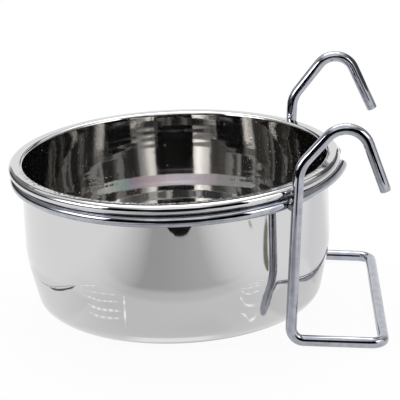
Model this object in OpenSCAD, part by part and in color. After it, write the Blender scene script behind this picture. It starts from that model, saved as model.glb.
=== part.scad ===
/* [Cup] */
// Outside diameter over the rolled rim
rim_d = 128; // [100:1:160]
// Height from the base to the crest of the rim
cup_h = 59.6; // [52:0.1:90]
// Distance that the rim stands out from the straight upper wall
rim_reach = 4.9; // [4.4:0.1:8]
// Distance by which the wall tapers in on its way down to the base corner
foot_inset = 4; // [2:0.1:8]
// Height at which the wall starts to taper
taper_h = 27.5; // [20:0.5:34]
// Radius that blends the straight wall into the taper
blend_r = 40; // [10:1:60]
// Outside radius of the base corner
corner_r = 10; // [5:0.5:14]
// Thickness of the steel sheet
sheet_t = 0.7; // [0.4:0.05:1]
// Outside radius of the bend from the wall onto the rim
crest_r = 2.2; // [1.5:0.1:3]
// Outside radius of the rolled edge
roll_r = 1.9; // [1.5:0.1:2.4]
// Angle through which the edge is rolled past the crest
roll_angle = 235; // [150:5:260]
// Width of the flat ring that the cup stands on, round the dome in its base
stand_w = 7.4; // [4:0.1:12]
// Rise of the dome at the centre of the base
dome_rise = 1.6; // [0.5:0.1:3]

/* [Support ring] */
// Diameter of the wire
wire_d = 4.2; // [3:0.1:5]
// Play between the cup's wall and the inside of the ring, all round
ring_play = 1.1; // [0.9:0.1:2]
// Distance that the ring sits off the cup's axis, towards the cage
ring_shift = 0.8; // [0:0.1:0.8]
// Angle from the cage side to the front end of the ring
front_end_angle = 0; // [0:1:20]
// Angle from the cage side to the rear end of the ring
rear_end_angle = 14; // [5:1:30]
// Gap between the rolled rim and the ring that carries it
rim_gap = 0.3; // [0.2:0.1:1]

/* [Hanger wire] */
// Angle round the ring from the cage side to each leg
leg_angle = 46.9; // [35:0.1:60]
// Depth to which each leg is set into the ring by its weld
weld_set = 0.3; // [0.1:0.05:0.8]
// Lean of the hanger towards the cage, out of square with the ring
lean_angle = 4.2; // [0:0.1:8]
// Length of each leg from the ring down to the centre of the lower bend
leg_drop = 53.1; // [40:0.1:70]
// Reach of the lower loop from the legs to the centre of its crossbar
loop_reach = 35; // [20:0.5:60]
// Bend radius of the lower loop, to the centre of the wire
loop_bend_r = 5; // [4:0.5:12]
// Height of the knee above the ring
knee_rise = 14.6; // [10:0.1:30]
// Height of the hook's corner above the ring, before it is rounded
hook_rise = 37.9; // [30:0.1:60]
// Reach of the hook's corner from the leg, before it is rounded
hook_reach = 18.1; // [14:0.1:30]
// Reach of the hook's tip from the leg
tip_reach = 32.3; // [26:0.1:50]
// Height of the hook's tip above the ring
tip_rise = 7.4; // [0:0.1:20]
// Bend radius at the knee, to the centre of the wire
knee_r = 11.4; // [6:0.1:20]
// Bend radius over the top of the hook, to the centre of the wire
hook_r = 8.5; // [4:0.1:12]
// Chamfer on the cut ends of the wire
end_chamfer = 0.4; // [0.1:0.1:0.8]

/* [Welds] */
// Diameter of the collar of weld metal at each crossing
weld_d = 5.4; // [4.6:0.1:7]

/* [Hidden] */
$fn = 96;
weld_facets = 240;
// Overrun of a cut past the face that it opens
overrun = 1;

// Rim
rim_r = rim_d / 2;
wall_r = rim_r - rim_reach;
crest_centre = [wall_r - sheet_t + crest_r, cup_h - crest_r];
roll_centre = [rim_r - roll_r, cup_h - roll_r];
roll_bottom = cup_h - 2 * roll_r;

// Tapered wall: a straight line that runs from the blend above it to the base corner below it
foot_r = wall_r - foot_inset;
blend_centre = [wall_r - blend_r, taper_h];
steepest_taper = 30;
taper_halvings = 40;
taper_angle = taper_of(0, steepest_taper, taper_halvings);
taper_out = [cos(taper_angle), -sin(taper_angle)];
corner_centre = [foot_r - corner_r * cos(taper_angle), corner_r];
// Depth by which the line cuts across the blend and the corner, which leaves it a crisp end on both
taper_bite = sheet_t / 35;

// Base
dome_r = corner_centre[0] - stand_w;
dome_sphere_r = (dome_r * dome_r + dome_rise * dome_rise) / (2 * dome_rise);
dome_centre_h = dome_rise - dome_sphere_r;

// Support ring
wire_r = wire_d / 2;
// Thinning of the wire all round a bend, and length by which straight wire runs into a bend
wire_draw = wire_d / 210;
wire_lap = wire_d / 21;
ring_r = wall_r + ring_play + wire_r;
ring_h = roll_bottom - rim_gap - wire_r;

// Hanger wire: legs run down the outside of the ring
crossing_r = ring_r + wire_d - weld_set;
leg_x = ring_shift + crossing_r * cos(leg_angle);
leg_y = crossing_r * sin(leg_angle);
knee = [0, knee_rise];
hook_corner = [hook_reach, hook_rise];
hook_tip = [tip_reach, tip_rise];
slant_angle = atan2(hook_reach, hook_rise - knee_rise);
slant_len = norm(hook_corner - knee);
arm_angle = atan2(tip_reach - hook_reach, tip_rise - hook_rise);
arm_len = norm(hook_tip - hook_corner);
knee_turn = slant_angle;
hook_turn = arm_angle - slant_angle;
knee_cut = knee_r * tan(knee_turn / 2);
hook_cut = hook_r * tan(hook_turn / 2);

// The taper angle is bisected until the straight line is tangent to the blend and to the corner
function taper_gap(a) =
    let (
        top = blend_centre + blend_r * [cos(a), -sin(a)],
        foot = [foot_r, corner_r - corner_r * sin(a)],
        down = top - foot
    )
    down[0] * cos(a) - down[1] * sin(a);
function taper_of(low, high, left) =
    let (mid = (low + high) / 2)
    left == 0 ? mid : taper_gap(mid) > 0 ? taper_of(mid, high, left - 1) : taper_of(low, mid, left - 1);

// Half section of the bowl's inside at a given depth under its outer face, open at the top
module bowl_region(depth, top) {
    taper_top = blend_centre + (blend_r - depth - taper_bite) * taper_out;
    taper_foot = corner_centre + (corner_r - depth - taper_bite) * taper_out;
    blend_end = (taper_top[1] + taper_foot[1]) / 2;
    difference() {
        union() {
            translate([0, taper_h])
                square([wall_r - depth, top - taper_h]);
            intersection() {
                translate(blend_centre)
                    circle(blend_r - depth);
                translate([0, blend_end])
                    square([wall_r, taper_h - blend_end]);
            }
            polygon([[0, taper_foot[1]], taper_foot, taper_top, [0, taper_top[1]]]);
            translate(corner_centre)
                circle(corner_r - depth);
            translate([0, depth])
                square([corner_centre[0], corner_centre[1]]);
        }
        translate([0, dome_centre_h])
            circle(dome_sphere_r + depth);
    }
}

// Sheet bent round an arc, seen in section
module bent_sheet(centre, r, from, to) {
    steps = ceil((to - from) / 45);
    sector = [for (i = [0:steps]) let (a = from + (to - from) * i / steps) 2 * r * [cos(a), sin(a)]];
    translate(centre)
        intersection() {
            difference() {
                circle(r);
                circle(r - sheet_t);
            }
            polygon(concat([[0, 0]], sector));
        }
}

module cup_section() {
    difference() {
        bowl_region(0, crest_centre[1]);
        bowl_region(sheet_t, crest_centre[1] + overrun);
    }
    bent_sheet(crest_centre, crest_r, 90, 180);
    translate([crest_centre[0], cup_h - sheet_t])
        square([roll_centre[0] - crest_centre[0], sheet_t]);
    bent_sheet(roll_centre, roll_r, 90 - roll_angle, 90);
}

module cup() {
    color("gainsboro")
        rotate_extrude()
            cup_section();
}

// Places children with the ring's plane and centre at the origin
module at_ring() {
    translate([ring_shift, 0, ring_h])
        children();
}

// Places children at a leg: the leg runs along Z through the origin, which is level with the ring
module at_leg(side) {
    translate([leg_x, side * leg_y, ring_h])
        rotate([0, lean_angle, 0])
            children();
}

module leg_rod(side, below, above) {
    at_leg(side)
        translate([0, 0, -below])
            cylinder(d = wire_d, h = below + above);
}

module ring_wire() {
    at_ring()
        rotate([0, 0, rear_end_angle])
            rotate_extrude(angle = 360 - rear_end_angle - front_end_angle)
                translate([ring_r, 0])
                    circle(d = wire_d);
}

module support_ring() {
    color("silver")
        difference() {
            ring_wire();
            for (side = [-1, 1])
                leg_rod(side, leg_drop / 2, knee_rise / 2);
        }
}

// Bent stretch of wire that starts along +Z at the origin and turns towards +X
module bend(r, turn) {
    translate([r, 0, 0])
        rotate([90, 0, 180])
            rotate_extrude(angle = turn)
                translate([r, 0])
                    circle(d = wire_d - 2 * wire_draw);
}

// Carries children to the far end of such a bend
module after_bend(r, turn) {
    translate([r, 0, 0])
        rotate([0, turn, 0])
            translate([-r, 0, 0])
                children();
}

// Straight stretch of wire, with its ends run into the bends
module rod(len) {
    translate([0, 0, -wire_lap])
        cylinder(d = wire_d, h = len + 2 * wire_lap);
}

// Straight stretch that ends in a chamfered cut
module rod_with_cut_end(len) {
    rotate_extrude()
        polygon([
            [0, -wire_lap],
            [wire_r, -wire_lap],
            [wire_r, len - end_chamfer],
            [wire_r - end_chamfer, len],
            [0, len]
        ]);
}

// Knee, slant, top bend and arm of one hook, starting where the leg ends
module hook() {
    bend(knee_r, knee_turn);
    after_bend(knee_r, knee_turn) {
        rod(slant_len - knee_cut - hook_cut);
        translate([0, 0, slant_len - knee_cut - hook_cut]) {
            bend(hook_r, hook_turn);
            after_bend(hook_r, hook_turn)
                rod_with_cut_end(arm_len - hook_cut);
        }
    }
}

// Leg, lower bend, side bar and the bend into the crossbar
module leg_and_side(side) {
    translate([0, 0, loop_bend_r - leg_drop]) {
        rod(leg_drop + knee_rise - knee_cut - loop_bend_r);
        mirror([0, 0, 1])
            bend(loop_bend_r, 90);
    }
    translate([loop_bend_r, 0, -leg_drop])
        rotate([0, 90, 0]) {
            rod(loop_reach - 2 * loop_bend_r);
            translate([0, 0, loop_reach - 2 * loop_bend_r])
                rotate([0, 0, -side * 90])
                    bend(loop_bend_r, 90);
        }
}

module crossbar() {
    translate([loop_reach, leg_y - loop_bend_r, -leg_drop])
        rotate([90, 0, 0])
            rod(2 * (leg_y - loop_bend_r));
}

module hanger_wire() {
    color("silver") {
        for (side = [-1, 1])
            at_leg(side) {
                leg_and_side(side);
                translate([0, 0, knee_rise - knee_cut])
                    hook();
            }
        at_leg(0)
            crossbar();
    }
}

// Collar of metal squeezed out round the crossing of a leg and the ring
module weld(side) {
    crossing = [leg_x - ring_shift, side * leg_y] * (ring_r + wire_r - weld_set / 2) / crossing_r;
    color("lightgray")
        difference() {
            at_ring()
                translate(crossing)
                    sphere(d = weld_d, $fn = weld_facets);
            ring_wire($fn = weld_facets);
            leg_rod(side, weld_d, weld_d, $fn = weld_facets);
        }
}

module weld_front() {
    weld(-1);
}

module weld_rear() {
    weld(1);
}

cup();
support_ring();
hanger_wire();
weld_front();
weld_rear();
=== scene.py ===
"""Feeder cup in a wire cage hanger: visual pieces, materials, studio and camera. Lengths here are in millimetres."""
import math

import bpy
import numpy as np
from mathutils import Matrix, Vector


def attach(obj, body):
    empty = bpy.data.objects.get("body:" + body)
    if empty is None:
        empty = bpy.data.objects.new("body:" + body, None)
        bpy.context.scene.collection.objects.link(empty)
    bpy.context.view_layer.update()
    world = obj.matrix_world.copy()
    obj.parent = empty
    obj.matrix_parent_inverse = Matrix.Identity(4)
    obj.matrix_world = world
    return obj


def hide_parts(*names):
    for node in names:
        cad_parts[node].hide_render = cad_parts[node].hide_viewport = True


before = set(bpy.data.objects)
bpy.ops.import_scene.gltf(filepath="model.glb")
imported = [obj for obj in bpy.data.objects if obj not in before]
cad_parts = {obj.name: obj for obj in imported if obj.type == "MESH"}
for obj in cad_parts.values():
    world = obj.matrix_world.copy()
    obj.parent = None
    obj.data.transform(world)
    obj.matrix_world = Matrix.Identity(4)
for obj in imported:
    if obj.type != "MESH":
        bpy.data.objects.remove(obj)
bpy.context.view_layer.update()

MM = 0.001

# Cup: the outer face
WALL_R = 59.2
FOLD_Z = 23.5
TAPER = 12.85
BLEND_R = 44.0
CORNER_R = 7.0
HEEL_R = 14.0
HEEL_TURN = 55.0
CUP_H = 59.6
SHEET = 0.7
DOME_R = 38.05
DOME_RISE = 1.6
# The rolled rim
CREST_R = 2.2
LIP_CURVE_R = 1.2
ROLL_R = 1.9
RIM_R = 64.0
ROLL_TURN = 235.0
# The inner face
INNER_TAPER = 14.5
INNER_DRAFT = 2.7
INNER_BLEND_R = 60.0
DRAFT_TOP = 49.0
DRAFT_BLEND_R = 200.0
CUP_SIDES = 248
DOME_STEPS = 24

# Wires
WIRE_R = 2.1
WIRE_SIDES = 40
RING_R = 62.3
RING_SHIFT = 0.8
RING_H = 53.4
RING_STEPS = 260
RING_SOFTENING = 13
LEG_X = 46.03
WELD_SET = 0.3
LEAN = math.radians(4.2)
LEG_DROP = 53.1
LOOP_REACH = 35.0
LOOP_BEND_R = 5.0
# Each hook: knee height, corner and tip in the leg's axes, then the radii of the knee and the corner
REAR_HOOK = (13.6, (17.8, 38.9), (32.4, 10.3), 11.4, 8.0)
FRONT_HOOK = (14.3, (19.4, 38.2), (32.2, 6.6), 12.1, 8.9)
END_CHAMFER = 0.4
CHAMFER_EASE = 0.3
LONGEST_STEP = 4
# A direction that no wire starts in
SKEW = (0.3, 0.2, 0.9)

SHARP_ANGLE = 40.0
SAME_POINT = 1e-6


def linked(name, data):
    """A new object in the scene."""
    ob = bpy.data.objects.new(name, data)
    bpy.context.scene.collection.objects.link(ob)
    return ob


def mesh_object(name, points, faces):
    """A smooth mesh object whose points are given in millimetres."""
    mesh = bpy.data.meshes.new(name)
    mesh.from_pydata([tuple(p * MM) for p in np.asarray(points, float)], [], faces)
    mesh.validate()
    mesh.shade_smooth()
    mesh.set_sharp_from_angle(angle=math.radians(SHARP_ANGLE))
    return linked(name, mesh)


def arc(centre, r, start, end, step):
    """Points on an arc in section, angles in degrees, both ends included."""
    n = max(2, int(math.ceil(abs(end - start) / step)))
    a = np.radians(np.linspace(start, end, n + 1))
    return np.column_stack([centre[0] + r * np.cos(a), centre[1] + r * np.sin(a)])


def line(a, b, step=2.0):
    """Points on a straight line in section, both ends included."""
    a, b = np.asarray(a, float), np.asarray(b, float)
    n = max(1, int(math.ceil(np.linalg.norm(b - a) / step)))
    return a + (b - a) * np.linspace(0, 1, n + 1)[:, None]


def joined(*runs):
    """One run of points out of several, without the points that repeat."""
    points = np.vstack(runs)
    keep = np.r_[True, np.linalg.norm(np.diff(points, axis=0), axis=1) > SAME_POINT]
    return points[keep]


def softened(values, width):
    """A running mean that keeps both ends where they are."""
    padded = np.pad(values, width // 2, mode="reflect", reflect_type="odd")
    return np.convolve(padded, np.ones(width) / width, mode="valid")


CREST_C = (WALL_R - SHEET + CREST_R, CUP_H - CREST_R)
ROLL_C = (RIM_R - ROLL_R, CUP_H - ROLL_R)
LIP_C = (WALL_R - SHEET + LIP_CURVE_R, CUP_H - LIP_CURVE_R)
DOME_BALL_R = (DOME_R ** 2 + DOME_RISE ** 2) / (2 * DOME_RISE)


def bowl_run(depth, taper, draft, blend_r):
    """Section of the bowl from the middle of its base up to the rim, at a depth under the outer face. The wall above
    the fold leans in by the draft angle as it goes down, and below it by the taper angle."""
    slant, down = math.radians(draft), math.radians(taper)
    fold = np.array([WALL_R - depth - (DRAFT_TOP - FOLD_Z) * math.tan(slant), FOLD_Z])
    corner_r = CORNER_R - depth
    corner_z = HEEL_R - (HEEL_R - CORNER_R) * math.sin(math.radians(HEEL_TURN))
    meet_z = corner_z - corner_r * math.sin(down)
    corner_x = fold[0] - (FOLD_Z - meet_z) * math.tan(down) - corner_r * math.cos(down)
    heel_x = corner_x - (HEEL_R - CORNER_R) * math.cos(math.radians(HEEL_TURN))
    corner = joined(
        arc((heel_x, HEEL_R), HEEL_R - depth, -90, -HEEL_TURN, step=2.0),
        arc((corner_x, corner_z), corner_r, -HEEL_TURN, -taper, step=3.0),
    )
    ball = DOME_BALL_R + depth
    low = DOME_RISE - DOME_BALL_R
    edge = math.sqrt(ball ** 2 - (depth - low) ** 2)
    x = np.linspace(0, edge, DOME_STEPS)
    dome = np.column_stack([x, low + np.sqrt(ball ** 2 - x ** 2)])
    cut = blend_r * math.tan(math.radians(taper - draft) / 2)
    start = fold - cut * np.array([math.sin(down), math.cos(down)])
    centre = start - blend_r * np.array([math.cos(down), -math.sin(down)])
    blend = arc(centre, blend_r, -taper, -draft, step=0.8)
    upright, top = np.array([[WALL_R - depth, DRAFT_TOP]]), CREST_C[1]
    if draft > 0:
        ease = DRAFT_BLEND_R * math.tan(slant / 2)
        upright_c = (WALL_R - depth - DRAFT_BLEND_R, DRAFT_TOP + ease)
        upright, top = arc(upright_c, DRAFT_BLEND_R, -draft, 0, step=0.2), LIP_C[1]
    return joined(
        dome,
        line(dome[-1], corner[0]),
        corner,
        line(corner[-1], blend[0], step=0.5),
        blend,
        line(blend[-1], upright[0], step=1.0),
        upright,
        line(upright[-1], (WALL_R - depth, top), step=1.0),
    )


OUTER_RUN = bowl_run(0.0, TAPER, 0.0, BLEND_R)
INNER_RUN = bowl_run(SHEET, INNER_TAPER, INNER_DRAFT, INNER_BLEND_R)


def cup_section():
    """Closed section of the cup: up its outer face, round the rolled edge and down its inner face."""
    under = joined(
        arc(CREST_C, CREST_R - SHEET, 180, 90, step=6.0),
        arc(ROLL_C, ROLL_R - SHEET, 90, 90 - ROLL_TURN, step=6.0),
    )
    over = joined(
        arc(ROLL_C, ROLL_R, 90 - ROLL_TURN, 90, step=4.0),
        arc(LIP_C, LIP_CURVE_R, 90, 180, step=4.0),
    )
    return joined(OUTER_RUN, under, over, INNER_RUN[::-1])


def lathe(name, section, sides):
    """Turns a section that starts and ends on the axis into a closed mesh."""
    body = section[1:-1]
    n = len(body)
    turn = np.linspace(0, 2 * math.pi, sides, endpoint=False)
    points = [
        np.column_stack([body[:, 0] * math.cos(t), body[:, 0] * math.sin(t), body[:, 1]]) for t in turn
    ]
    points = np.vstack(points + [[[0, 0, section[0][1]]], [[0, 0, section[-1][1]]]])
    first, last = sides * n, sides * n + 1
    faces = []
    for s in range(sides):
        a, b = s * n, (s + 1) % sides * n
        faces.append((first, b, a))
        faces.extend((a + i, b + i, b + i + 1, a + i + 1) for i in range(n - 1))
        faces.append((last, a + n - 1, b + n - 1))
    return mesh_object(name, points, faces)


def sweep(name, path, radius, sides):
    """Round wire along a path, with chamfered ends."""
    path = np.asarray(path, float)
    tangent = np.gradient(path, axis=0)
    tangent /= np.linalg.norm(tangent, axis=1)[:, None]
    side = np.cross(tangent[0], SKEW)
    side /= np.linalg.norm(side)
    eased = END_CHAMFER * CHAMFER_EASE
    centres, radii, sides_of = [], [], []
    for i, (p, t) in enumerate(zip(path, tangent)):
        side = side - t * side.dot(t)
        side /= np.linalg.norm(side)
        if i == 0:
            centres += [p, p + t * eased]
            radii += [radius - END_CHAMFER, radius - eased]
            sides_of += [(side, np.cross(t, side))] * 2
            p = p + t * END_CHAMFER
        if i == len(path) - 1:
            tip = p
            p = p - t * END_CHAMFER
        centres.append(p)
        radii.append(radius)
        sides_of.append((side, np.cross(t, side)))
    centres += [tip - t * eased, tip]
    radii += [radius - eased, radius - END_CHAMFER]
    sides_of += [sides_of[-1]] * 2
    turn = np.linspace(0, 2 * math.pi, sides, endpoint=False)
    points = []
    for c, r, (u, v) in zip(centres, radii, sides_of):
        points.append(c + r * (np.cos(turn)[:, None] * u + np.sin(turn)[:, None] * v))
    faces = []
    rings = len(centres)
    for i in range(rings - 1):
        for k in range(sides):
            m = (k + 1) % sides
            faces.append((i * sides + k, i * sides + m, (i + 1) * sides + m, (i + 1) * sides + k))
    faces.append(tuple(range(sides))[::-1])
    faces.append(tuple((rings - 1) * sides + k for k in range(sides)))
    return mesh_object(name, np.vstack(points), faces)


def rounded(corners, radii, step=5.0):
    """A path through corner points, each rounded to its radius, in three dimensions."""
    corners = [np.asarray(c, float) for c in corners]
    path = [corners[0]]
    for before, at, after, r in zip(corners, corners[1:], corners[2:], radii):
        u = (at - before) / np.linalg.norm(at - before)
        v = (after - at) / np.linalg.norm(after - at)
        turn = math.acos(max(-1, min(1, u.dot(v))))
        cut = r * math.tan(turn / 2)
        n = (v - u * u.dot(v)) / math.sin(turn)
        centre = at - u * cut + n * r
        steps = max(2, int(math.ceil(math.degrees(turn) / step)))
        for k in range(steps + 1):
            a = turn * k / steps
            path.append(centre + r * (u * math.sin(a) - n * math.cos(a)))
    path.append(corners[-1])
    full = [path[0]]
    for p in path[1:]:
        n = max(1, int(np.linalg.norm(p - full[-1]) // LONGEST_STEP))
        full += [full[-1] + (p - full[-1]) * k / n for k in range(1, n + 1)]
    return np.array(full)


LEG_Y = math.sqrt((RING_R + 2 * WIRE_R - WELD_SET) ** 2 - (LEG_X - RING_SHIFT) ** 2)


def from_leg(x, y, z):
    """A point given in the leaning hanger's own axes, whose origin is level with the ring."""
    c, s = math.cos(LEAN), math.sin(LEAN)
    return np.array([LEG_X + x * c + z * s, y, RING_H + z * c - x * s])


def hanger_path():
    """Centre of the hanger's wire from the tip of the rear hook to the tip of the front hook."""
    sides = []
    for (knee, corner, tip, knee_r, corner_r), y in ((REAR_HOOK, LEG_Y), (FRONT_HOOK, -LEG_Y)):
        stops = [tip, corner, (0, knee), (0, -LEG_DROP), (LOOP_REACH, -LEG_DROP)]
        sides.append(([from_leg(x, y, z) for x, z in stops], [corner_r, knee_r, LOOP_BEND_R, LOOP_BEND_R]))
    (rear, rear_r), (front, front_r) = sides
    return rounded(rear + front[::-1], rear_r + front_r[::-1])


# The ring as bent: azimuth from +X, distance from the cup's axis, rise
RING_BENDS = [
    (14, 65.0, 0.0), (22, 64.3, 0.0), (36, 63.1, 0.0), (60, 62.7, 0.0), (90, 62.3, 0.0), (135, 61.7, 0.1),
    (180, 61.45, 0.2), (225, 61.7, 0.1), (270, 62.3, 0.0), (300, 62.7, 0.0), (312, 62.7, 0.0), (321, 61.7, 0.15),
    (332, 61.5, 0.2), (343, 62.1, 0.1), (352, 63.3, 0.0), (360, 64.5, -0.1),
]


def ring_path():
    """Centre of the ring's wire from its rear end round to its front end."""
    phi = np.linspace(RING_BENDS[0][0], RING_BENDS[-1][0], RING_STEPS)
    at, r, rise = zip(*RING_BENDS)
    r, rise = (softened(np.interp(phi, at, v), RING_SOFTENING) for v in (r, rise))
    a = np.radians(phi)
    return np.column_stack([r * np.cos(a), r * np.sin(a), RING_H + rise])


# Pieces
cup = lathe("cup_shell", cup_section(), CUP_SIDES)
ring = sweep("ring_wire", ring_path(), WIRE_R, WIRE_SIDES)
hanger = sweep("hanger_rod", hanger_path(), WIRE_R, WIRE_SIDES)
for piece, body, node, slot in [
    (cup, "cup", "cup", "cup_steel"),
    (ring, "holder", "support_ring", "wire_chrome"),
    (hanger, "holder", "hanger_wire", "wire_chrome"),
]:
    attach(piece, body)
    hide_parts(node)


def feed(socket, value):
    """Sets a node's input, or links another node's output to it."""
    if hasattr(value, "is_output"):
        socket.id_data.links.new(value, socket)
    else:
        socket.default_value = value


def add(mat, kind, inputs=(), **settings):
    """A new node in a material. Inputs are pairs of a socket's name or number and its value or source."""
    made = mat.node_tree.nodes.new("ShaderNode" + kind)
    for word, value in settings.items():
        setattr(made, word, value)
    for key, value in inputs:
        feed(made.inputs[key], value)
    return made


def blended(mat, share, low, high):
    """Colour that goes from low to high as share goes from 0 to 1."""
    made = add(mat, "Mix", data_type="RGBA")
    for key, value in (("Factor_Float", share), ("A_Color", low), ("B_Color", high)):
        socket = next(i for i in made.inputs if i.identifier == key)
        feed(socket, (*value, 1) if isinstance(value, tuple) else value)
    return next(o for o in made.outputs if o.identifier == "Result_Color")


def ranged(mat, value, over, to=(0.0, 1.0)):
    """A value mapped smoothly and clamped from one range to another."""
    words = ("Value", "From Min", "From Max", "To Min", "To Max")
    inputs = list(zip(words, (value, *over, *to)))
    return add(mat, "MapRange", inputs, interpolation_type="SMOOTHSTEP").outputs["Result"]


def calc(mat, operation, *terms):
    """One Math operation over two or more terms."""
    total = terms[0]
    for term in terms[1:]:
        total = add(mat, "Math", [(0, total), (1, term)], operation=operation).outputs[0]
    return total


def noise(mat, where, scale, detail=2.0, distortion=0.0):
    """Noise from 0 to 1, its scale per metre."""
    inputs = [("Vector", where), ("Scale", scale), ("Detail", detail), ("Distortion", distortion)]
    return add(mat, "TexNoise", inputs).outputs["Fac"]


def dots(mat, where, scale, edge, picks):
    """Round dots in some cells of a pattern. Edge is the distance from a dot's middle at which it ends and at which
    it is whole, as a share of a cell, and picks are the random values from which a cell has one."""
    cells = add(mat, "TexVoronoi", [("Vector", where), ("Scale", scale)])
    picked = add(mat, "SeparateColor", [(0, cells.outputs["Color"])]).outputs[0]
    return calc(mat, "MULTIPLY", ranged(mat, cells.outputs["Distance"], edge), ranged(mat, picked, picks))


def bumped(mat, *layers):
    """Bump layers, each a height from 0 to 1 and its full depth in metres."""
    normal = None
    for height, depth in layers:
        made = add(mat, "Bump", [("Height", height), ("Distance", depth), ("Strength", 1.0)])
        if normal is not None:
            feed(made.inputs["Normal"], normal)
        normal = made.outputs["Normal"]
    return normal


def metal(name):
    """A material whose shader is a bare metal, and the object coordinates for its detail."""
    mat = bpy.data.materials.new(name)
    mat.use_nodes = True
    shader = mat.node_tree.nodes["Principled BSDF"]
    shader.inputs["Metallic"].default_value = 1
    return mat, shader, add(mat, "TexCoord").outputs["Object"]


# The steel inside is a darker copy of the steel outside: painted shade inside the bowl
STEEL_OUTSIDE, STEEL_INSIDE_SHADED = (0.636, 0.634, 0.642), (0.54, 0.532, 0.52)
SCORCHED, RESIDUE = (0.1, 0.1, 0.1), (0.9, 0.88, 0.85)
LIP_PIT, WALL_PIT = (0.08, 0.07, 0.065), (0.06, 0.05, 0.045)
# How ragged the turned band's edge is, what it and a speck add to the roughness, and how its grooves lie
RAGGEDNESS, TURNED_ROUGHNESS, SPECK_ROUGHNESS = 0.9, 0.5, 0.5
GROOVE_STRENGTH, GROOVE_TURN = 0.85, 0.25
INSIDE_METALLIC = 0.994
CHROME = (0.37, 0.38, 0.43), (0.45, 0.46, 0.51)
WELD = (0.24, 0.23, 0.24), (0.6, 0.61, 0.66)


def cup_steel():
    """Polished drawn steel, darker inside as painted shade. The cup's zones say where it is inside, on the turned
    base corner with its painted sheen, and on the lip.
    """
    mat, shader, where = metal("cup_steel")
    painted = add(mat, "VertexColor", layer_name="zone")
    inside, base, lip = add(mat, "SeparateColor", [(0, painted.outputs["Color"])]).outputs
    sheen_tint = add(mat, "VertexColor", layer_name="sheen_tint").outputs["Color"]
    cloud = noise(mat, where, scale=45.0, detail=3.0)
    grain = noise(mat, where, scale=900.0)

    # The turned base corner has a ragged edge, and fine scratches in its painted iridescent sheen
    ragged = calc(mat, "MULTIPLY", calc(mat, "SUBTRACT", grain, 0.5), RAGGEDNESS)
    turned = ranged(mat, calc(mat, "ADD", base, ragged), (0.35, 0.65))
    scratched = ranged(mat, noise(mat, where, scale=1500.0, distortion=1.0), (0.37, 0.47), to=(0.38, 0.0))

    # Dust and polish residue inside, pits outside
    speck = calc(mat, "MULTIPLY", dots(mat, where, scale=400.0, edge=(0.12, 0.06), picks=(0.5, 0.55)), inside)
    pit = dots(mat, where, scale=75.0, edge=(0.055, 0.025), picks=(0.64, 0.66))
    pit = calc(mat, "MULTIPLY", pit, calc(mat, "SUBTRACT", 1.0, inside))

    # Darker steel inside: painted shade
    colour = blended(mat, inside, STEEL_OUTSIDE, STEEL_INSIDE_SHADED)
    # The turned band's colour is a painted iridescent sheen, brighter than the steel, with dark scratches
    colour = blended(mat, turned, colour, blended(mat, scratched, sheen_tint, SCORCHED))
    colour = blended(mat, calc(mat, "MULTIPLY", lip, ranged(mat, grain, (0.51, 0.57))), colour, LIP_PIT)
    colour = blended(mat, speck, colour, RESIDUE)
    colour = blended(mat, pit, colour, WALL_PIT)
    feed(shader.inputs["Base Color"], colour)

    feed(shader.inputs["Metallic"], ranged(mat, inside, (0.0, 1.0), to=(1.0, INSIDE_METALLIC)))
    feed(shader.inputs["Roughness"], calc(
        mat,
        "ADD",
        ranged(mat, cloud, (0.3, 0.7), to=(0.02, 0.06)),
        calc(mat, "MULTIPLY", turned, TURNED_ROUGHNESS),
        calc(mat, "MULTIPLY", speck, SPECK_ROUGHNESS),
        calc(mat, "MULTIPLY", lip, ranged(mat, grain, (0.45, 0.7), to=(0.0, 0.25))),
    ))
    # The turned band spreads its light across its grooves
    feed(shader.inputs["Anisotropic"], calc(mat, "MULTIPLY", turned, GROOVE_STRENGTH))
    feed(shader.inputs["Anisotropic Rotation"], GROOVE_TURN)

    # Ripple from drawing, slow waviness, and roughness to the touch on the lip and the turned band
    shape = [("Vector", where), ("Scale", 108.0), ("Distortion", 2.5), ("Detail", 1.0), ("Detail Scale", 0.4)]
    ripple = add(mat, "TexWave", shape, bands_direction="Z").outputs["Fac"]
    fine = noise(mat, where, scale=700.0, detail=3.0)
    feed(shader.inputs["Normal"], bumped(
        mat,
        (calc(mat, "MULTIPLY", ripple, painted.outputs["Alpha"]), 4.5e-6),
        (noise(mat, where, scale=130.0, detail=1.0), 2e-5),
        (calc(mat, "MULTIPLY", fine, calc(mat, "ADD", lip, turned)), 3e-5),
    ))
    return mat


def wire_chrome():
    """Bright chrome plate over drawn wire, faintly lilac, with the wire's fine waviness under it."""
    mat, shader, where = metal("wire_chrome")
    cloud = noise(mat, where, scale=260.0, detail=3.0)
    feed(shader.inputs["Base Color"], blended(mat, ranged(mat, cloud, (0.35, 0.65)), *CHROME))
    feed(shader.inputs["Roughness"], ranged(mat, cloud, (0.3, 0.7), to=(0.03, 0.09)))
    waves, grain = noise(mat, where, scale=160.0, detail=1.0), noise(mat, where, scale=900.0)
    feed(shader.inputs["Normal"], bumped(mat, (waves, 3e-5), (grain, 6e-6)))
    return mat


def weld_metal():
    """Plated weld: lumpy, duller than the wire, darker in its hollows."""
    mat, shader, where = metal("weld_metal")
    lumps = noise(mat, where, scale=500.0, detail=3.0, distortion=0.5)
    feed(shader.inputs["Base Color"], blended(mat, ranged(mat, lumps, (0.35, 0.6)), *WELD))
    feed(shader.inputs["Roughness"], ranged(mat, lumps, (0.35, 0.65), to=(0.35, 0.12)))
    feed(shader.inputs["Normal"], bumped(mat, (lumps, 2.5e-4)))
    return mat


# Each zone of the cup goes from none to whole over these angles from its middle, heights and radii
BASE_MIDDLE, BASE_TURNS, BASE_HEIGHTS, BASE_RADII = -88, (108, 94), (10.9, 7.9), (36, 42)
LIP_MIDDLE, LIP_TURNS, LIP_HEIGHTS, LIP_RADII, LIP_FROM = -90, (80, 60), (58.0, 58.6), (60.8, 60.0), 58
RIPPLE_INSIDE, RIPPLE_OUTSIDE, OUTSIDE_SHARE = (57, 55.6), (26, 20), 0.6
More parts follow.
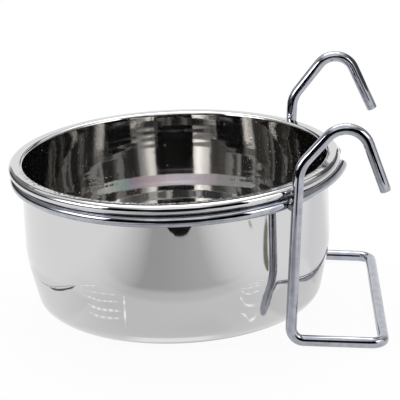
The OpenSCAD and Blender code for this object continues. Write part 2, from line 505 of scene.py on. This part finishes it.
# Painted iridescent sheen of the turned base corner, brighter than the steel, by azimuth from +X, which pales
# towards white by a share
SHEEN_TINTS = [
    (-188, (0.8, 0.98, 0.9)), (-168, (0.78, 0.8, 0.8)), (-140, (0.8, 0.76, 0.8)), (-130, (1.0, 0.78, 0.94)),
    (-108, (0.94, 0.8, 0.98)), (-95, (0.84, 0.82, 0.92)), (-84, (0.98, 0.8, 0.9)), (-62, (1.0, 0.72, 0.82)),
    (-42, (0.96, 0.74, 0.88)), (-34, (0.7, 0.7, 1.0)), (-24, (0.62, 0.98, 0.8)), (-14, (0.84, 0.95, 0.88)),
    (13, (0.9, 0.9, 0.88)),
]
TINT_BASE, TINT_SHARE = 0.36, 0.7


def ramp(value, zero, one):
    """0 to 1 as a value goes from one bound to the other, clamped."""
    return np.clip((value - zero) / (one - zero), 0, 1)


def paint_zones(ob):
    """Paints the cup's mesh. One colour layer holds the inside, the turned base corner and the front of the lip, and
    in its alpha how much it is rippled. The other holds the painted iridescent sheen of the turned base corner."""
    co = np.empty(len(ob.data.vertices) * 3)
    ob.data.vertices.foreach_get("co", co)
    co = co.reshape(-1, 3) / MM
    r, z = np.hypot(co[:, 0], co[:, 1]), co[:, 2]
    turn = np.degrees(np.arctan2(co[:, 1], co[:, 0]))
    turn = np.where(turn > 90, turn - 360, turn)

    steps = len(cup_section()) - 2
    order = np.tile(np.arange(steps), CUP_SIDES)
    inside = np.r_[(order > steps - len(INNER_RUN)).astype(float), 0.0, 1.0]
    base = inside * ramp(np.abs(turn - BASE_MIDDLE), *BASE_TURNS) * ramp(z, *BASE_HEIGHTS) * ramp(r, *BASE_RADII)
    lip = ramp(np.abs(turn - LIP_MIDDLE), *LIP_TURNS) * ramp(z, *LIP_HEIGHTS) * ramp(r, *LIP_RADII) * (r > LIP_FROM)
    ripple = np.where(inside > 0.5, ramp(z, *RIPPLE_INSIDE), OUTSIDE_SHARE * ramp(z, *RIPPLE_OUTSIDE))
    at, colours = zip(*SHEEN_TINTS)
    sheen_tint = [np.minimum(1, TINT_BASE + TINT_SHARE * np.interp(turn, at, c)) for c in zip(*colours)]
    for name, columns in (("zone", [inside, base, lip, ripple]), ("sheen_tint", sheen_tint + [np.ones(len(z))])):
        layer = ob.data.color_attributes.new(name, "FLOAT_COLOR", "POINT")
        layer.data.foreach_set("color", np.column_stack(columns).ravel())


paint_zones(cup)
steel, chrome, weld = cup_steel(), wire_chrome(), weld_metal()
for ob, mat in [(cup, steel), (ring, chrome), (hanger, chrome)]:
    ob.data.materials.append(mat)
for node in ("weld_front", "weld_rear"):
    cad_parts[node].data.materials.clear()
    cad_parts[node].data.materials.append(weld)

# Floor: a large sheet that follows the lean of the cup and the loop that stand on it
FLOOR_SLOPE = -0.03442
FLOOR_H = -1.62
FLOOR_HALF = 3000
FLOOR_COLOUR = (0.9, 0.9, 0.9, 1)
FLOOR_ROUGHNESS = 0.8
FLOOR_GLOW = 0.94


def floor_z(x):
    """Height of the floor."""
    return FLOOR_SLOPE * x + FLOOR_H


def floor_material():
    """Matt and pale. The camera and the metal see mostly its glow, so it looks white and keeps the shadow."""
    mat = bpy.data.materials.new("floor")
    mat.use_nodes = True
    matt = mat.node_tree.nodes["Principled BSDF"]
    for word, value in [
        ("Base Color", FLOOR_COLOUR), ("Roughness", FLOOR_ROUGHNESS), ("Specular IOR Level", 0),
    ]:
        matt.inputs[word].default_value = value
    rays = add(mat, "LightPath").outputs
    seen = calc(mat, "MAXIMUM", rays["Is Camera Ray"], rays["Is Glossy Ray"], rays["Is Transmission Ray"])
    share = calc(mat, "MULTIPLY", seen, FLOOR_GLOW)
    glow = add(mat, "Emission", [("Strength", 1.0)])
    mix = add(mat, "MixShader", [(0, share), (1, matt.outputs[0]), (2, glow.outputs[0])])
    feed(mat.node_tree.nodes["Material Output"].inputs["Surface"], mix.outputs[0])
    return mat


floor_mesh = bpy.data.meshes.new("floor")
corners = [(FLOOR_HALF * x, FLOOR_HALF * y) for x, y in [(-1, -1), (1, -1), (1, 1), (-1, 1)]]
floor_mesh.from_pydata([(x * MM, y * MM, floor_z(x) * MM) for x, y in corners], [], [(0, 1, 2, 3)])
floor = linked("floor", floor_mesh)
floor.data.materials.append(floor_material())

# World
world = bpy.data.worlds.new("studio")
bpy.context.scene.world = world
world.use_nodes = True
world.node_tree.nodes["Background"].inputs["Color"].default_value = (1, 1, 1, 1)
world.node_tree.nodes["Background"].inputs["Strength"].default_value = 1.0


# Studio flags and soft boxes. They shape the reflections, and the camera doesn't see them.
def panel(name, points, faces, levels, cover=None):
    """A staged panel that glows with a level per point, black cloth where that is 0. With cover, it shows in
    reflections alone, by that share."""
    mesh = bpy.data.meshes.new(name)
    mesh.from_pydata([tuple(c * MM for c in p) for p in points], [], faces)
    for word, values in [("level", levels), ("cover", cover)]:
        if values is not None:
            layer = mesh.color_attributes.new(word, "FLOAT_COLOR", "POINT")
            values = np.asarray(values, float)
            if values.ndim == 1:
                values = np.repeat(values[:, None], 3, axis=1)
            layer.data.foreach_set("color", np.column_stack([values, np.ones(len(values))]).ravel())
    ob = linked(name, mesh)
    ob.visible_camera = False
    mat = bpy.data.materials.new(name)
    mat.use_nodes = True
    nodes = mat.node_tree.nodes
    nodes.remove(nodes["Principled BSDF"])
    shown = add(mat, "Emission", [("Color", add(mat, "VertexColor", layer_name="level").outputs["Color"])])
    if cover is not None:
        ob.visible_diffuse = False
        ob.visible_shadow = False
        share = add(mat, "VertexColor", layer_name="cover").outputs["Color"]
        clear = add(mat, "BsdfTransparent").outputs[0]
        shown = add(mat, "MixShader", [(0, share), (1, clear), (2, shown.outputs[0])])
    feed(nodes["Material Output"].inputs["Surface"], shown.outputs[0])
    mesh.materials.append(mat)
    return ob


TURN_STEP, PAST_END = 2.0, 0.1


def grid_faces(rows, columns):
    """Faces of a grid of points that run along its columns first."""
    return [
        (j * columns + i, j * columns + i + 1, (j + 1) * columns + i + 1, (j + 1) * columns + i)
        for j in range(rows - 1)
        for i in range(columns - 1)
    ]


def curtain(name, stops, reach, low, high):
    """An upright panel bent round the object. Each stop is an azimuth, 0 at the front and 90 at +X, and its level.
    The lower and upper edges are heights, or stops of an azimuth and its height."""
    turns = np.arange(stops[0][0], stops[-1][0] + PAST_END, TURN_STEP)
    at, levels = zip(*stops)
    levels = np.array([np.broadcast_to(v, 3) for v in levels])
    levels = np.column_stack([np.interp(turns, at, levels[:, k]) for k in range(3)])
    edges = [edge if isinstance(edge, list) else [(0, edge)] for edge in (low, high)]
    edges = [np.interp(turns, *zip(*edge)) for edge in edges]
    points = [
        (reach * math.sin(t), -reach * math.cos(t), z) for t, *ends in zip(np.radians(turns), *edges) for z in ends
    ]
    faces = [(2 * i, 2 * i + 2, 2 * i + 3, 2 * i + 1) for i in range(len(turns) - 1)]
    return panel(name, points, faces, np.repeat(levels, 2, axis=0))


BROWN = (0.33, 0.3, 0.27)
FRONT_REACH, SIDE_REACH, LOW_REACH, FLAG_REACH, FAR_REACH, NEAR_REACH = 300, 400, 395, 420, 430, 112
DARK_FRONT, BOX_LOW, BOX_HIGH, HIGH_TOP = 235, 160, 330, 600

BOX_FRONT = [(-44, 0.2), (-28, 0.3), (-17, 1.2), (18, 1.3), (28, 0.4), (47, 0.35)]
BOX_RIGHT = [(47, 3.0), (52, 4.0), (62, 4.0), (68, 2.6), (76, 1.5), (87, 0.9)]
BOX_LEFT = [(-84, 1.4), (-80, 3.2), (-68, 4.4), (-55, 6.5), (-49, 5.0), (-44, 4.0)]
FLAG_RIGHT = [(87, 0.4), (96, 0.3), (118, 0.5), (130, 0.7), (150, 1.0)]
FLAG_LEFT = [(-150, 1.0), (-135, 0.9), (-120, 0.5), (-106, 0.32), (-92, 0.35), (-84, 0.8)]
FLAG_LOW_LEFT = [(-150, 1.0), (-140, 0.08), (-44, 0.03)]
FLAG_LOW_LEFT_HIGH = [(-150, 150), (-92, 150), (-82, 100), (-44, 100)]
FLAG_HIGH_RIGHT = [(47, 0.45), (60, 0.3), (80, 0.3), (100, 0.5), (124, 0.8)]
FLAG_HIGH_LEFT = [(-124, 0.8), (-104, 0.3), (-58, 0.25), (-44, 0.5)]
BEHIND = [
    (92, 0.35), (98, 0.2), (104, 0.08), (118, 0.1), (124, 0.14), (138, 0.08), (146, 0.12), (150, 0.35), (157, 0.35),
    (161, 0.1), (188, 0.08), (191, 1.0), (197, 1.0), (201, 0.25), (214, 0.25), (224, BROWN), (240, BROWN),
    (250, 0.25), (256, 0.2), (268, 0.3),
]
# Its edges leave the light that the flat of the rim shows
BEHIND_LOW = [
    (92, 72), (130, 72), (134, 90), (146, 90), (150, 86), (156, 81), (162, 79), (192, 78), (198, 80), (204, 83),
    (210, 87), (216, 90), (230, 90), (234, 72), (268, 72),
]
BEHIND_HIGH = [
    (92, 118), (130, 118), (134, 90), (146, 90), (150, 98), (156, 107), (162, 111), (168, 114), (192, 114),
    (198, 110), (204, 105), (210, 97), (216, 90), (230, 90), (234, 118), (268, 118),
]
FLAG_FAR = [(140, 0.3), (150, 0.15), (226, 0.15), (232, 0.3)]
for name, stops, reach, low, high in [
    ("flag_front", [(-44, 0.0), (47, 0.0)], FRONT_REACH, -14, DARK_FRONT),
    ("box_front", BOX_FRONT, FRONT_REACH, DARK_FRONT, 400),
    ("box_right", BOX_RIGHT, SIDE_REACH, BOX_LOW, BOX_HIGH),
    ("box_left", BOX_LEFT, SIDE_REACH, BOX_LOW, BOX_HIGH),
    ("flag_right", FLAG_RIGHT, FLAG_REACH, -18, BOX_HIGH),
    ("flag_left", FLAG_LEFT, FLAG_REACH, 8, BOX_HIGH),
    ("flag_low_left", FLAG_LOW_LEFT, LOW_REACH, 8, FLAG_LOW_LEFT_HIGH),
    ("flag_high_right", FLAG_HIGH_RIGHT, SIDE_REACH, BOX_HIGH, HIGH_TOP),
    ("flag_high_left", FLAG_HIGH_LEFT, SIDE_REACH, BOX_HIGH, HIGH_TOP),
    ("flag_behind", BEHIND, NEAR_REACH, BEHIND_LOW, BEHIND_HIGH),
    ("flag_far", FLAG_FAR, FAR_REACH, 225, 345),
]:
    curtain(name, stops, reach, low, high)
# Level boxes overhead: half width, front, back, height, level
for name, half, front, back, height, level in [
    ("box_above", 260, -120, 420, 520, 1.35),
    ("box_top", 180, 40, 420, 500, 3.6),
]:
    points = [(-half, front, height), (half, front, height), (half, back, height), (-half, back, height)]
    panel(name, points, [(0, 1, 2, 3)], [level] * 4)

# The grey card in front, painted shade of the floor for reflections alone: how much it covers across, along, and
# round the cup's foot, where it is a painted contact shadow, each as places and shares
CARD_LEVEL, CARD_STEP, CARD_LIFT, CARD_MOST = 0.42, 5.0, 0.6, 0.95
CARD_X, CARD_Y = (-150.0, 161.0), (-230.0, -19.0)
CARD_ACROSS = [-122, -105, -86, -66, -42, 50, 77, 101, 125], [0, 0.14, 0.35, 0.6, 1, 0.75, 0.35, 0.13, 0]
CARD_ALONG = [-230, -216, -112, -99, -88, -80], [0, 1, 1, 0.62, 0.58, 0.45]
CARD_FADE = [-60, -25], [1, 0]
FOOT_ACROSS = [-90, -60, 20, 44], [0.6, 0.8, 1, 0.4]
FOOT_SHARE, FOOT_R, FOOT_WIDTH = 0.42, 66, 16
THINNED, THINNED_FROM = 0.9, -84


def painted_shade_card():
    """A grey card that lies in front, painted shade from which the lower wall takes its shading, with soft edges and
    a painted contact shadow round the cup's foot.
    """
    xs, ys = np.arange(*CARD_X, CARD_STEP), np.arange(*CARD_Y, CARD_STEP)
    points, cover = [], []
    for y in ys:
        for x in xs:
            points.append((x, y, floor_z(x) + CARD_LIFT))
            over = np.interp(x, *CARD_ACROSS) * np.interp(y, *CARD_ALONG)
            # Painted contact shadow round the cup's foot
            bell = math.exp(-(((math.hypot(x, y) - FOOT_R) / FOOT_WIDTH) ** 2))
            near = FOOT_SHARE * bell * np.interp(x, *FOOT_ACROSS)
            most = max(over * (1 if y < THINNED_FROM else THINNED), near)
            cover.append(np.interp(y, *CARD_FADE) * min(CARD_MOST, most))
    return panel("painted_shade_card", points, grid_faces(len(ys), len(xs)), [CARD_LEVEL] * len(points), cover)


painted_shade_card()

# Painted light and shade on the floor that the lower wall shows: level, width, strength, dashes along it, and the
# path's points
FLOOR_LIGHT_AND_SHADE = [
    # Painted shade lines on the left
    (0.06, 2.4, 1.0, 0, [
        (-70.9, -13.8), (-70.2, -20.7), (-70.2, -27.0), (-71.6, -34.4), (-74.3, -42.2), (-77.6, -48.0),
    ]),
    (0.45, 1.0, 0.9, 0, [
        (-72.3, 5.5), (-72.4, -3.9), (-72.3, -12.4), (-73.1, -21.0), (-75.3, -30.3), (-77.7, -40.7), (-79.6, -48.7),
    ]),
    # A painted white highlight dash beside them
    (1.35, 1.6, 0.9, 3, [(-77.3, -52.8), (-77.3, -60.5), (-73.2, -74.2)]),
    # Painted white highlight scallops on the right
    (1.3, 1.5, 0.8, 2, [(80.1, -75.0), (84.2, -65.6)]),
    (1.35, 1.4, 0.8, 2, [(67.4, -79.1), (73.4, -73.5), (77.6, -66.4)]),
    (1.35, 1.4, 0.9, 3, [(56.0, -80.1), (60.8, -73.6), (68.5, -68.9), (72.5, -62.3)]),
    (1.35, 1.4, 0.9, 3, [(54.2, -76.9), (51.5, -70.3), (53.0, -64.5), (60.8, -61.2), (65.1, -59.3)]),
    (1.35, 1.3, 0.9, 2, [(46.0, -69.6), (42.7, -63.8), (43.2, -60.3), (46.0, -57.0), (49.9, -54.1)]),
    (1.35, 1.2, 0.9, 2, [(37.0, -60.3), (38.4, -57.2), (37.5, -53.4), (41.0, -52.0), (45.2, -52.2)]),
    # Painted white highlight dashes on the left
    (1.3, 1.3, 0.7, 4, [(-68.6, -53.8), (-61.7, -63.6), (-52.3, -72.8), (-45.2, -78.3)]),
    (1.35, 1.3, 0.9, 7, [(-61.5, -50.2), (-56.0, -55.2), (-49.7, -58.7), (-43.6, -65.9), (-37.9, -69.7)]),
    (1.35, 1.3, 0.9, 6, [(-53.0, -49.2), (-48.1, -52.5), (-43.4, -56.2), (-38.7, -60.3), (-33.1, -64.1)]),
    (1.3, 1.2, 0.7, 5, [(-48.3, -48.3), (-43.4, -51.0), (-38.3, -55.3), (-30.5, -61.4)]),
    (1.35, 1.2, 0.9, 3, [(-42.6, -80.8), (-32.3, -66.5), (-26.0, -58.1)]),
    # Painted shade: an olive strip and blot beside the leg
    ((0.13, 0.13, 0.08), 9.0, 0.9, 0, [(196.7, -101.5), (162.0, -94.0), (140.5, -88.0), (113.7, -74.0)]),
    ((0.3, 0.3, 0.1), 5.0, 0.8, 0, [(160.5, -131.0), (163.0, -143.0)]),
    # Broad soft shades on the right, and along both sides of the cup's foot
    ((0.4, 0.4, 0.5), 80.0, 0.2, 0, [(72.0, 0.0), (130.0, 50.0), (250.0, 160.0)]),
    (0.45, 24.0, 0.3, 0, [(52.0, -52.0), (68.0, -24.0), (71.0, 8.0), (64.0, 36.0)]),
    (0.45, 24.0, 0.15, 0, [(-52.0, -52.0), (-68.0, -24.0), (-71.0, 8.0), (-64.0, 36.0)]),
]
MARK_STEPS, MARK_SOFTENING, MARK_LIFT, MARK_RISE = 41, 7, 0.9, 0.01
# Across a ribbon: place in widths, and whether it covers there
RIBBON = ((-0.75, 0), (-0.35, 1), (0.35, 1), (0.75, 0))
NARROWEST, NARROWING = 0.15, 5
DASH_MEAN, DASH_SWING = 0.6, 0.4


def painted_floor_light():
    """Painted light and shade as soft ribbons on the floor, seen in reflections alone, that narrow towards their
    ends.
    """
    points, faces, levels, cover = [], [], [], []
    t = np.linspace(0, 1, MARK_STEPS)
    narrow = np.clip(NARROWING * np.minimum(t, 1 - t), NARROWEST, 1)
    for rank, (level, width, strength, dashes, path) in enumerate(FLOOR_LIGHT_AND_SHADE):
        path = np.asarray(path)
        along = np.r_[0, np.cumsum(np.linalg.norm(np.diff(path, axis=0), axis=1))]
        x, y = (softened(np.interp(t * along[-1], along, path[:, k]), MARK_SOFTENING) for k in (0, 1))
        across = np.column_stack([-np.gradient(y), np.gradient(x)])
        across /= np.linalg.norm(across, axis=1)[:, None]
        share = np.full(len(t), strength)
        if dashes:
            share *= DASH_MEAN + DASH_SWING * np.sin(2 * math.pi * dashes * t)
        for i in range(len(t)):
            first = len(points)
            for step, whole in RIBBON:
                px, py = np.array([x[i], y[i]]) + across[i] * step * width * narrow[i]
                points.append((px, py, floor_z(px) + MARK_LIFT + MARK_RISE * rank))
                levels.append(np.broadcast_to(level, 3))
                cover.append(whole * share[i])
            if i:
                faces += [(first + k - 4, first + k - 3, first + k + 1, first + k) for k in range(3)]
    return panel("painted_floor_light", points, faces, levels, cover)


# The lines under the base corner: a painted contact shadow line and a painted bright line beyond it, by distance and
# share
BASE_LINES = [44.0, 46.0, 49.5, 50.5, 52.0, 56.0, 57.5], [0, 0.5, 0.5, 0, 1, 1, 0]
BRIGHT_FROM, BRIGHT_LEVEL, DARK_LEVEL, BASE_LIFT = 50, 1.12, 0.45, 0.75
BRIGHT_TURNS = [-24, -15, 11, 20], [0.15, 1, 1, 0.15]
LINE_TURNS = np.arange(-70.0, 71.0, 2.0)


def base_light():
    """A painted bright line and a painted contact shadow line on the floor under the base corner, for its reflection
    alone.
    """
    points, levels, cover = [], [], []
    for t in LINE_TURNS:
        for r, share in zip(*BASE_LINES):
            x, y = r * math.sin(math.radians(t)), -r * math.cos(math.radians(t))
            points.append((x, y, floor_z(x) + BASE_LIFT))
            bright = r > BRIGHT_FROM
            levels.append(BRIGHT_LEVEL if bright else DARK_LEVEL)
            cover.append(share * (np.interp(t, *BRIGHT_TURNS) if bright else 1))
    rows, columns = len(LINE_TURNS), len(BASE_LINES[0])
    faces = [(a, d, c, b) for a, b, c, d in grid_faces(rows, columns)]
    return panel("base_light", points, faces, levels, cover)


painted_floor_light()
base_light()

# A black round card, upright in front of the cup: the dark patch under the ring
ROUND_X, ROUND_Y, ROUND_Z, ROUND_R, ROUND_SIDES, ROUND_LEVEL = 14, -197, 85, 87, 48, 0.01
turns = np.linspace(0, 2 * math.pi, ROUND_SIDES, endpoint=False)
points = [(ROUND_X + ROUND_R * math.sin(t), ROUND_Y, ROUND_Z - ROUND_R * math.cos(t)) for t in turns]
panel("round_flag", points, [tuple(range(ROUND_SIDES))], [ROUND_LEVEL] * ROUND_SIDES)

# Camera
CAMERA_AT = (31.98, -874.87, 329.10)
AZIMUTH, ELEVATION, ROLL = math.radians(1.487), math.radians(18.236), math.radians(-2.414)
SENSOR, LENS = 36.0, 213.68
CLIP_FROM, CLIP_TO = 0.05, 50
level_x, level_y = math.sin(AZIMUTH) * math.cos(ELEVATION), -math.cos(AZIMUTH) * math.cos(ELEVATION)
back = Vector((level_x, level_y, math.sin(ELEVATION)))
right = (-back).cross(Vector((0, 0, 1))).normalized()
up = right.cross(-back)
rolled_right = right * math.cos(ROLL) + up * math.sin(ROLL)
rolled_up = up * math.cos(ROLL) - right * math.sin(ROLL)
camera_data = bpy.data.cameras.new("camera")
camera_data.sensor_width = SENSOR
camera_data.lens = LENS
camera_data.clip_start = CLIP_FROM
camera_data.clip_end = CLIP_TO
camera = linked("camera", camera_data)
turned = Matrix((rolled_right, rolled_up, back)).transposed().to_4x4()
camera.matrix_world = Matrix.Translation(Vector(CAMERA_AT) * MM) @ turned
bpy.context.scene.camera = camera
bpy.context.scene.view_settings.view_transform = "Standard"
